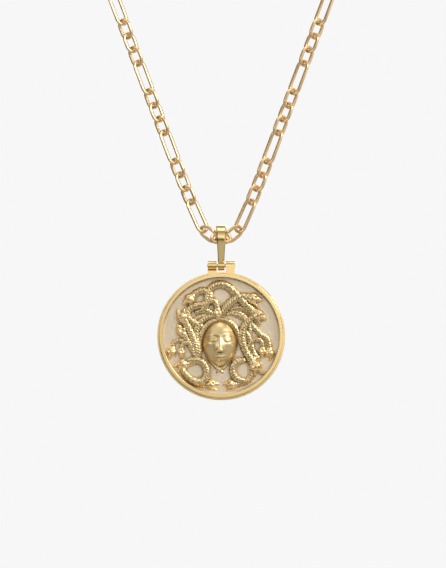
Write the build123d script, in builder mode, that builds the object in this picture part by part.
from build123d import *
import os
from math import atan2, cos, hypot, pi, radians, sin, sqrt, tan

# A statement necklace: a figaro chain of tilted links in one closed loop, a tapered bail that
# hangs on the chain's lowest link, and a hinged round locket on the bail's eye. The locket's
# lid is a rim with a recessed plate, on which a snake-haired head stands in cast relief.
# Millimetres. +Z is up, the front faces -Y, and the origin is the underside of the clasp,
# where the necklace hangs.

# Chain
necklace_length = 449.0     # once round the loop, clasp included
wire = 0.70                 # wire diameter of every link
short_link = 4.52           # outer length of a short link
long_link = 7.74            # outer length of a long link
link_width = 3.20           # outer width of every link
link_twist = 41.0           # degrees that a link leans out of the loop's plane, by turns
link_gap = 0.12             # clearance where two links in line pass through each other
bend_slack = 0.0050         # extra clearance for each degree of bend between two links
shorts_in_row = 3           # short links between two long ones

# The chain's chosen route: how steeply each link beside the bail's own link rises, in degrees.
# The last value holds until the stretch that lies round the neck.
STRAND_RISE = (39.0, 66.0, 68.0, 68.5, 69.0, 69.5)

# Clasp
clasp_wire = 1.10
clasp_body = 7.60           # outer length of the clasp's closed loop
clasp_width = 4.60
clasp_eye = 3.90            # outer length of the small eye at its other end
clasp_eye_wire = 0.80
clasp_gap = 0.25            # clearance between the clasp and the last link of each strand

# Bail
bail_play = 0.45            # room between the carrying link and the inside of the bail
bail_wall = 0.60
bail_width = 2.10           # at the top of the bail
bail_foot = 1.30            # width of the eye on the hinge pin
bail_waist = 0.55           # half thickness where the two legs meet the eye
bail_drop = 5.62            # from the carrying link's axis down to the hinge pin
bail_edge = 0.20            # chamfer along the bail's long edges
bail_crotch = 0.18          # radius of the narrow end of the bail's opening

# Hinge
barrel_r = 0.98
pin_r = 0.36
pin_play = 0.05             # radial clearance between the pin and a knuckle
pin_proud = 0.08            # how far each end of the pin stands out of its knuckle
hinge_gap = 0.30            # half the space, sideways, between the bail's eye and a knuckle
knuckle = 1.78              # length of one knuckle
knuckle_lift = 0.12         # room under a knuckle that turns over the other leaf
notch_depth = 0.48          # room under the bail's eye

# Locket
shell_r = 13.00             # outer radius of the back shell
hinge_rise = 1.30           # from the top of the shell's disc up to the hinge pin
lid_inset = 0.38            # how much smaller the lid's radius is than the shell's
seam = 0.10                 # gap between the closed lid and the shell
lid_depth = 2.35            # from the seam to the front of the rim
shell_depth = 2.25          # from the seam to the back
rim_face = 0.80             # width of the rim's front face
rim_round = 0.14
shell_round = 0.75
shell_wall = 1.30
shell_floor = 0.80
flange = 0.65               # width of the ledge that the plate sits on
flange_depth = 0.45
seat_gap = 0.04             # clearance between the plate and its seat
plate_thick = 0.70

# Relief. Its rows and shares follow the plate's radius, and its heights the recess.
snake_r = 1.00              # radius of a snake's body
head_swell = 1.32           # a snake's head against its body
snout_share = 0.86          # a snake's snout against its body
snout_reach = 1.45          # from the middle of a head to that of its snout, against the body's radius
top_level = 4               # the highest level of crossing bodies
least_sunk = 0.06           # how far behind the plate's front that level's middles lie, against their radius
level_step = 0.15           # how much deeper each level below it lies, against the body's radius
bend_share = 0.48           # how much of a run of a snake's line each of its bends takes

# Each snake: its level, its thickness against snake_r, whether a head ends it, and its line
# from tail to head, in shares of the plate's radius to the right and up.
SNAKES = {
    "collar": (2, 0.42, False, ((-0.32, 0.04), (-0.30, -0.24), (-0.19, -0.45), (-0.02, -0.60),
                                (0.15, -0.45), (0.26, -0.24), (0.28, 0.04))),
    "knot_left": (3, 0.38, False, ((-0.13, -0.53), (-0.03, -0.58), (0.05, -0.64))),
    "knot_right": (4, 0.34, False, ((0.09, -0.53), (-0.01, -0.58), (-0.09, -0.64))),
    "crown": (3, 1.00, True, ((-0.26, 0.44), (-0.25, 0.69), (-0.16, 0.86), (0.03, 0.90), (0.20, 0.79),
                              (0.34, 0.62), (0.50, 0.46), (0.60, 0.38))),
    "lock_left": (2, 0.80, False, ((-0.47, 0.38), (-0.31, 0.46), (-0.16, 0.39), (-0.04, 0.27))),
    "forehead": (4, 0.75, True, ((-0.33, 0.41), (-0.26, 0.58), (-0.13, 0.62), (-0.06, 0.51),
                                 (-0.06, 0.43))),
    "upper_right": (3, 1.00, True, ((0.00, 0.36), (0.10, 0.53), (0.26, 0.65), (0.39, 0.69), (0.50, 0.65))),
    "middle_right": (1, 0.85, True, ((0.05, 0.34), (0.22, 0.43), (0.39, 0.34), (0.55, 0.17),
                                     (0.68, 0.01), (0.80, -0.04), (0.84, -0.16), (0.83, -0.26))),
    "cheek_right": (3, 1.00, True, ((0.57, 0.34), (0.43, 0.24), (0.36, 0.06), (0.38, -0.16),
                                    (0.47, -0.35), (0.57, -0.50))),
    "inner_right": (2, 0.85, True, ((0.38, 0.13), (0.48, -0.02), (0.53, -0.20), (0.58, -0.35))),
    "arch_right": (4, 0.62, True, ((0.45, -0.24), (0.51, -0.10), (0.63, -0.05), (0.72, -0.12),
                                   (0.71, -0.24))),
    "lock_right": (3, 0.70, False, ((-0.05, 0.29), (0.09, 0.27), (0.23, 0.17), (0.31, 0.02),
                                    (0.33, -0.14))),
    "hair_left": (3, 0.70, False, ((0.01, 0.29), (-0.13, 0.27), (-0.27, 0.17), (-0.35, 0.02),
                                   (-0.37, -0.14))),
    "crest_left": (1, 0.85, False, ((-0.18, 0.38), (-0.38, 0.34), (-0.51, 0.20), (-0.55, 0.02))),
    "crest_right": (1, 0.90, False, ((0.08, 0.38), (0.27, 0.37), (0.44, 0.27), (0.51, 0.10),
                                     (0.49, -0.12))),
    "crown_right": (1, 0.80, False, ((0.12, 0.42), (0.28, 0.50), (0.44, 0.44), (0.58, 0.30),
                                     (0.66, 0.14))),
    "foot_right": (1, 0.95, True, ((0.45, -0.39), (0.53, -0.58), (0.50, -0.75), (0.36, -0.82),
                                   (0.21, -0.84))),
    "loop_right": (4, 0.85, False, ((0.43, -0.42), (0.28, -0.43), (0.20, -0.53), (0.21, -0.67),
                                    (0.29, -0.77), (0.43, -0.77))),
    "coil_left": (3, 0.90, True, ((-0.28, 0.13), (-0.45, 0.21), (-0.58, 0.31), (-0.58, 0.45),
                                  (-0.43, 0.52), (-0.29, 0.53), (-0.18, 0.61), (-0.19, 0.74),
                                  (-0.32, 0.79), (-0.44, 0.74), (-0.51, 0.66))),
    "temple_left": (2, 0.95, True, ((-0.06, 0.36), (-0.24, 0.34), (-0.40, 0.20), (-0.44, -0.02),
                                    (-0.37, -0.25), (-0.42, -0.42), (-0.54, -0.47), (-0.61, -0.49))),
    "side_left": (3, 0.95, True, ((-0.41, -0.34), (-0.43, -0.16), (-0.51, 0.03), (-0.58, 0.18),
                                  (-0.64, 0.29))),
    "cheek_left": (2, 0.90, True, ((-0.44, -0.39), (-0.49, -0.21), (-0.59, -0.06), (-0.66, 0.05))),
    "middle_left": (1, 0.80, True, ((-0.42, -0.23), (-0.56, -0.12), (-0.71, -0.07), (-0.83, -0.11),
                                    (-0.84, -0.24))),
    "inner_left": (4, 0.60, True, ((-0.49, -0.13), (-0.60, -0.10), (-0.68, -0.16), (-0.68, -0.26))),
    "loop_left": (4, 0.90, False, ((-0.61, -0.44), (-0.44, -0.40), (-0.28, -0.48), (-0.23, -0.63),
                                   (-0.28, -0.77), (-0.41, -0.81), (-0.54, -0.74), (-0.65, -0.63),
                                   (-0.69, -0.52))),
    "foot_left": (1, 0.90, True, ((-0.54, -0.71), (-0.43, -0.80), (-0.31, -0.85), (-0.22, -0.85))),
}

# The head in shares of the plate's radius: where its middle is, and its half width and height
face_at = (-0.02, -0.14)
face_half_width = 0.335
face_half_height = 0.445
face_rise = 2.25            # how far the middle of the face stands above the plate
chin_slim = 0.16            # how much slimmer than an egg the head is at its chin

# The face is a plain calm one, and brows, nose and chin divide it into three equal heights.
# Each feature is a long egg form: its place across and up in shares of the head's half sizes,
# its half length and radius in millimetres, how deep it is sunk, and its tilt in degrees.
# Those beside the middle come in pairs.
SOCKET = (0.42, 0.19, 1.20, 0.54, 0.00, 0)
FEATURES = {
    "eye": (0.42, 0.19, 0.79, 0.37, 0.28, 0),
    "brow": (0.42, 0.36, 1.26, 0.26, 0.00, -8),
    "nostril": (0.13, -0.30, 0.50, 0.33, 0.00, 0),
    "upper_lip": (0, -0.50, 1.15, 0.26, 0.00, 0),
    "lower_lip": (0, -0.59, 0.93, 0.30, 0.00, 0),
    "chin": (0, -0.80, 1.10, 0.55, 0.16, 0),
}
nose_from = 0.19            # height of the nose's root, and of its tip below
nose_to = -0.30
nose_root_r = 0.26
nose_tip_r = 0.42
nose_lift = 0.30            # how far the middle of the nose's tip stands out of the bare face
outline_step = 30           # degrees of the head's outline that one arc takes

# Places and sizes worked out from those above
bore_r = pin_r + pin_play
link_half = (link_width - wire) / 2
lid_r = shell_r - lid_inset
plate_bed_r = lid_r - rim_face
plate_r = plate_bed_r - seat_gap
clasp_half = (clasp_width - clasp_wire) / 2
clasp_length = clasp_body + clasp_eye - clasp_wire
clasp_reach = (clasp_length - clasp_wire - clasp_eye_wire - clasp_gap) / 2
clasp_under = clasp_half * cos(radians(link_twist)) + clasp_wire / 2
bail_inner_r = link_width / 2 + bail_play
bail_outer_r = bail_inner_r + bail_wall


def outer_length(number):
    """Outer length of a link, counted up from the bail's own link, which is number 0."""
    place_in_row = (number + shorts_in_row // 2) % (shorts_in_row + 1)
    return long_link if place_in_row == shorts_in_row else short_link


def pitch(number, slack_before=0.0, slack_after=0.0):
    """Length that a link adds to the chain, less the slack at its two joints."""
    return outer_length(number) - 2 * wire - link_gap - (slack_before + slack_after) / 2


def strand_count():
    """Links on one side of the bail's own link, so that the loop has its length."""
    wanted = (necklace_length - pitch(0)) / 2 - clasp_reach
    reached = 0.0
    count = 0
    while reached + pitch(count + 1) / 2 < wanted:
        count += 1
        reached += pitch(count)
    return count


def twist(number):
    """Lean of a link out of the loop's plane, by turns to the back and to the front."""
    return link_twist if number % 2 == 0 else -link_twist


def rises(count, bend_start):
    """Rise of each link of a strand, bending evenly round the neck from bend_start on."""
    whole = sum(pitch(number) for number in range(1, count + 1))
    angles = []
    reached = 0.0
    for number in range(1, count + 1):
        middle = reached + pitch(number) / 2
        reached += pitch(number)
        angle = STRAND_RISE[min(number, len(STRAND_RISE)) - 1]
        if middle > bend_start:
            angle += (180 - angle) * (middle - bend_start) / (whole - bend_start)
        angles.append(angle)
    return angles


def strand(count, bend_start):
    """Start point, rise and pitch of each link of the right-hand strand, and where it ends."""
    angles = rises(count, bend_start)
    turns = [angles[0]] + [b - a for a, b in zip(angles, angles[1:])] + [180 - angles[-1]]
    slack = [bend_slack * turn for turn in turns]
    x = pitch(0, slack[0], slack[0]) / 2
    z = 0.0
    placed = []
    for number, angle in enumerate(angles, start=1):
        step = pitch(number, slack[number - 1], slack[number])
        placed.append((x, z, angle, step))
        x += step * cos(radians(angle))
        z += step * sin(radians(angle))
    return placed, x, z


def bend_start_that_closes(count):
    """Length of strand before the neck bend, so that the strand ends at the clasp's end."""
    low = 0.0
    high = sum(pitch(number) for number in range(1, count))
    for _ in range(60):
        middle = (low + high) / 2
        if strand(count, middle)[1] > clasp_reach:
            high = middle
        else:
            low = middle
    return (low + high) / 2


side_links = strand_count()
right_strand, _, loop_height = strand(side_links, bend_start_that_closes(side_links))

clasp_z = clasp_under
carrier_z = clasp_z - loop_height
pin_z = carrier_z - bail_drop
locket_z = pin_z - hinge_rise - shell_r
locket_axis = Axis((0, 0, locket_z), (0, 1, 0))


def link_solid(outer, half, thickness):
    """One closed link of round wire, along X, its plane in XY."""
    straight = outer - thickness - 2 * half
    with BuildPart() as link:
        with BuildLine() as centreline:
            Line((-straight / 2, half), (straight / 2, half))
            ThreePointArc((straight / 2, half), (straight / 2 + half, 0), (straight / 2, -half))
            Line((straight / 2, -half), (-straight / 2, -half))
            ThreePointArc((-straight / 2, -half), (-straight / 2 - half, 0), (-straight / 2, half))
        with BuildSketch(Plane(origin=(0, half, 0), z_dir=(1, 0, 0))):
            Circle(thickness / 2)
        sweep(path=centreline.wire())
    return link.part


def link_plane(x, z, rise, lean):
    """Plane of a link: its X runs along the chain, and it leans by lean out of the loop."""
    run = Vector(cos(radians(rise)), 0, sin(radians(rise)))
    up = Vector(-sin(radians(rise)), 0, cos(radians(rise)))
    across = up * cos(radians(lean)) + Vector(0, 1, 0) * sin(radians(lean))
    return Plane(origin=(x, 0, z), x_dir=run, z_dir=run.cross(across))


short_shape = link_solid(short_link, link_half, wire)
long_shape = link_solid(long_link, link_half, wire)


def placed_links(side):
    """The links of one strand, side 1 on the right and -1 on the left."""
    links = []
    for number, (x, z, rise, step) in enumerate(right_strand, start=1):
        middle_x = x + step / 2 * cos(radians(rise))
        middle_z = z + step / 2 * sin(radians(rise))
        shape = long_shape if outer_length(number) == long_link else short_shape
        angle = rise if side > 0 else 180 - rise
        lean = side * twist(number)
        links.append(link_plane(side * middle_x, carrier_z + middle_z, angle, lean) * shape)
    return links


links_right = placed_links(1)
with BuildPart() as chain_right:
    add(links_right)
chain_right.part.label = "chain_right"

links_left = placed_links(-1)
links_left.append(link_plane(0, carrier_z, 0, twist(0)) * short_shape)
with BuildPart() as chain_left:
    add(links_left)
chain_left.part.label = "chain_left"

# The clasp is a plain closed loop with a small eye, and both strands end in it.
clasp_lean = -twist(side_links + 1)
body_x = clasp_reach + clasp_wire + clasp_gap / 2 - clasp_body / 2
eye_x = clasp_eye / 2 - clasp_reach - clasp_eye_wire - clasp_gap / 2
clasp_loop = link_plane(body_x, clasp_z, 0, clasp_lean) * link_solid(clasp_body, clasp_half, clasp_wire)
clasp_ring = link_plane(eye_x, clasp_z, 0, clasp_lean) * link_solid(clasp_eye, link_half, clasp_eye_wire)
with BuildPart() as clasp:
    add([clasp_loop, clasp_ring])
clasp.part.label = "clasp"

# The bail in side view: a loop round the carrying link whose legs close on an eye.
with BuildPart() as bail:
    with BuildSketch(Plane.YZ):
        with BuildLine():
            CenterArc((0, carrier_z), bail_outer_r, 0, 360)
            CenterArc((0, pin_z + barrel_r), bail_waist, 0, 360)
        make_hull()
        with Locations((0, pin_z)):
            Circle(barrel_r)
    extrude(amount=bail_width / 2, both=True)
    with BuildSketch(Plane.YZ):
        with BuildLine():
            CenterArc((0, carrier_z), bail_inner_r, 0, 360)
            CenterArc((0, pin_z + barrel_r + bail_wall + bail_waist), bail_crotch, 0, 360)
        make_hull()
        with Locations((0, pin_z)):
            Circle(bore_r)
    extrude(amount=bail_width, both=True, mode=Mode.SUBTRACT)
    # In front view the bail narrows from its top down to the eye.
    with BuildSketch(Plane.XZ):
        with BuildLine():
            Polyline(
                (-bail_width / 2, carrier_z + bail_outer_r),
                (bail_width / 2, carrier_z + bail_outer_r),
                (bail_foot / 2, pin_z + barrel_r),
                (bail_foot / 2, pin_z - barrel_r),
                (-bail_foot / 2, pin_z - barrel_r),
                (-bail_foot / 2, pin_z + barrel_r),
                close=True,
            )
        make_face()
    extrude(amount=bail_outer_r, both=True, mode=Mode.INTERSECT)
    side_faces = bail.faces().filter_by(lambda face: abs(face.normal_at().X) > 0.9)
    long_edges = [edge for face in side_faces for edge in face.outer_wire().edges()
                  if edge.center().Z > pin_z + barrel_r]
    chamfer(long_edges, bail_edge)
bail.part.label = "bail"

eye_half = bail_foot / 2
knuckle_in = eye_half + hinge_gap
knuckle_out = knuckle_in + knuckle
leaf_top = pin_z - barrel_r - knuckle_lift
notch_top = pin_z - barrel_r - notch_depth
leaf_root = locket_z + lid_r - rim_face / 2

with BuildPart() as hinge_pin:
    with BuildSketch(Plane.YZ):
        with Locations((0, pin_z)):
            Circle(pin_r)
    extrude(amount=knuckle_out + pin_proud, both=True)
    chamfer(hinge_pin.edges().filter_by(GeomType.CIRCLE), pin_proud)
hinge_pin.part.label = "hinge_pin"


def leaf(side, depth, front):
    """A knuckle on its leaf, on the given side, for the lid if front is 1, else for the shell."""
    near = seam / 2
    with BuildPart() as piece:
        # The leaf is a block as wide as the hinge, with a notch under the bail's eye.
        with BuildSketch(Plane.XZ.offset(front * near)):
            with BuildLine():
                Polyline(
                    (-knuckle_out, leaf_root),
                    (knuckle_out, leaf_root),
                    (knuckle_out, leaf_top),
                    (knuckle_in, leaf_top),
                    (knuckle_in, notch_top),
                    (-knuckle_in, notch_top),
                    (-knuckle_in, leaf_top),
                    (-knuckle_out, leaf_top),
                    close=True,
                )
            make_face()
        extrude(amount=front * depth)
        # The web and the barrel carry the knuckle.
        with BuildSketch(Plane.XZ.offset(front * near)):
            with Locations((side * (knuckle_in + knuckle_out) / 2, (pin_z + leaf_top) / 2)):
                Rectangle(knuckle, pin_z - leaf_top)
        extrude(amount=front * (barrel_r - near))
        with BuildSketch(Plane.YZ.offset(side * knuckle_in)):
            with Locations((0, pin_z)):
                Circle(barrel_r)
        extrude(amount=side * knuckle)
        with BuildSketch(Plane.YZ):
            with Locations((0, pin_z)):
                Circle(bore_r)
        extrude(amount=2 * knuckle_out, both=True, mode=Mode.SUBTRACT)
    return piece.part


# The back shell is a shallow turned dish.
shell_leaf = leaf(-1, shell_depth - shell_round, -1)
with BuildPart() as back_shell:
    with BuildSketch(Plane.XY.offset(locket_z)) as shell_section:
        with BuildLine():
            Polyline(
                (0, seam / 2 + shell_depth - shell_floor),
                (shell_r - shell_wall, seam / 2 + shell_depth - shell_floor),
                (shell_r - shell_wall, seam / 2),
                (shell_r, seam / 2),
                (shell_r, seam / 2 + shell_depth),
                (0, seam / 2 + shell_depth),
                close=True,
            )
        make_face()
        outer_corners = shell_section.vertices().group_by(Axis.X)[-1].sort_by(Axis.Y)
        fillet(outer_corners[0], rim_round / 2)
        fillet(outer_corners[-1], shell_round)
    revolve(axis=locket_axis)
    add(shell_leaf)
back_shell.part.label = "back_shell"

# The lid's rim is a ring with a ledge behind the plate.
lid_leaf = leaf(1, lid_depth - rim_round, 1)
with BuildPart() as lid_rim:
    with BuildSketch(Plane.XY.offset(locket_z)) as rim_section:
        with BuildLine():
            Polyline(
                (plate_bed_r - flange, -seam / 2),
                (lid_r, -seam / 2),
                (lid_r, -seam / 2 - lid_depth),
                (plate_bed_r, -seam / 2 - lid_depth),
                (plate_bed_r, -seam / 2 - flange_depth),
                (plate_bed_r - flange, -seam / 2 - flange_depth),
                close=True,
            )
        make_face()
        front_corners = rim_section.vertices().group_by(Axis.Y)[0]
        fillet(front_corners, rim_round)
    revolve(axis=locket_axis)
    add(lid_leaf)
lid_rim.part.label = "lid_rim"

plate_front = seam / 2 + flange_depth + seat_gap + plate_thick
relief_root = Plane.XZ.offset(plate_front - plate_thick / 2)


def snake_points(line):
    """A snake's line as points on the plate's front, in millimetres from the locket's centre."""
    return [(across * plate_r, locket_z + up * plate_r) for across, up in line]


def corner_radii(points):
    """Radius of each bend of a line, as large as its two runs allow."""
    radii = []
    for before, corner, after in zip(points, points[1:], points[2:]):
        first = atan2(corner[1] - before[1], corner[0] - before[0])
        second = atan2(after[1] - corner[1], after[0] - corner[0])
        turn = abs((second - first + pi) % (2 * pi) - pi)
        run = min(hypot(corner[0] - before[0], corner[1] - before[1]),
                  hypot(after[0] - corner[0], after[1] - corner[1]))
        radii.append(bend_share * run / tan(turn / 2))
    return radii


def snake(level, thick, with_head, line):
    """One snake of the relief: a round body half sunk in the plate, with a head at its end."""
    body_r = thick * snake_r
    middle = plate_front - (least_sunk + (top_level - level) * level_step) * body_r
    points = snake_points(line)
    plane = Plane.XZ.offset(middle)
    with BuildPart() as piece:
        with BuildLine(plane) as route:
            FilletPolyline(*points, radius=corner_radii(points))
        # Every round form has its seam at the back, which the split takes off.
        tail = Plane(origin=route.line @ 0, x_dir=(0, 1, 0), z_dir=route.line % 0)
        with BuildSketch(tail):
            Circle(body_r)
        sweep(path=route.line)
        with Locations(tail):
            Sphere(body_r)
        neck = Plane(origin=route.line @ 1, x_dir=(0, 1, 0), z_dir=route.line % 1)
        with Locations(neck):
            Sphere(body_r * (head_swell if with_head else 1))
        if with_head:
            with Locations(neck.offset(body_r * snout_reach)):
                Sphere(body_r * snout_share)
        split(bisect_by=relief_root, keep=Keep.TOP)
    return piece.part


face_x = face_at[0] * plate_r
face_z = locket_z + face_at[1] * plate_r
head_width = face_half_width * plate_r
head_height = face_half_height * plate_r
head_sunk = head_width - face_rise


def head_radius(up):
    """Radius of the bare head at a height, a share of its half height: an egg with a slim chin."""
    slim = 1 - chin_slim * up**2 if up < 0 else 1
    return head_width * slim * sqrt(1 - up**2)


def outline_point(angle):
    """A point of the head's outline, from 90 degrees at the crown to -90 at the chin."""
    up = sin(radians(angle))
    return (head_radius(up), up * head_height) if abs(angle) < 90 else (0, up * head_height)


def skin_depth(across, up):
    """How far forward the bare head stands at a place on it, given in shares of its half sizes."""
    return plate_front - head_sunk + sqrt(head_radius(up)**2 - (across * head_width)**2)


def feature(row):
    """The long egg forms of one feature, lying across the face: one, or a pair."""
    across, up, half_length, radius, sunk, tilt = row
    with BuildPart() as form:
        Sphere(1)
        scale(by=(half_length, radius, radius))
    depth = sunk - skin_depth(across, up)
    forms = []
    for side in (-1, 1) if across else (1,):
        origin = (face_x + side * across * head_width, depth, face_z + up * head_height)
        lie = (cos(radians(side * tilt)), 0, sin(radians(side * tilt)))
        forms.append(Plane(origin=origin, x_dir=lie, z_dir=(0, -1, 0)) * form.part)
    return forms


sockets = feature(SOCKET)
raised = [form for row in FEATURES.values() for form in feature(row)]
nose_root = Vector(face_x, -skin_depth(0, nose_from), face_z + nose_from * head_height)
nose_tip = Vector(face_x, -skin_depth(0, nose_to) - nose_lift, face_z + nose_to * head_height)

with BuildPart() as head:
    with BuildSketch(Plane((face_x, head_sunk - plate_front, face_z), x_dir=(1, 0, 0), z_dir=(0, -1, 0))):
        with BuildLine():
            for angle in range(90, -90, -outline_step):
                ThreePointArc(
                    outline_point(angle),
                    outline_point(angle - outline_step / 2),
                    outline_point(angle - outline_step),
                )
            Line((0, head_height), (0, -head_height))
        make_face()
    revolve(axis=Axis((face_x, head_sunk - plate_front, face_z), (0, 0, 1)))
    add(sockets, mode=Mode.SUBTRACT)
    add(raised)
    with BuildSketch(Plane(nose_root, z_dir=nose_tip - nose_root)):
        Circle(nose_root_r)
    with BuildSketch(Plane(nose_tip, z_dir=nose_tip - nose_root)):
        Circle(nose_tip_r)
    loft()
    split(bisect_by=relief_root, keep=Keep.TOP)

snakes = [snake(*row) for row in SNAKES.values()]
with BuildPart() as relief_plate:
    with BuildSketch(Plane.XZ.offset(plate_front)):
        with Locations((0, locket_z)):
            Circle(plate_r)
    extrude(amount=-plate_thick)
    add(head.part)
    for body in snakes:
        add(body)
relief_plate.part.label = "relief_plate"

print("links in a strand", side_links, "loop height", round(loop_height, 3))
print("carrying link", round(carrier_z, 3), "hinge pin", round(pin_z, 3), "locket", round(locket_z, 3))

os.makedirs("parts", exist_ok=True)
for piece in (chain_left, chain_right, clasp, bail, hinge_pin, back_shell, lid_rim, relief_plate):
    export_step(piece.part, f"parts/{piece.part.label}.step")
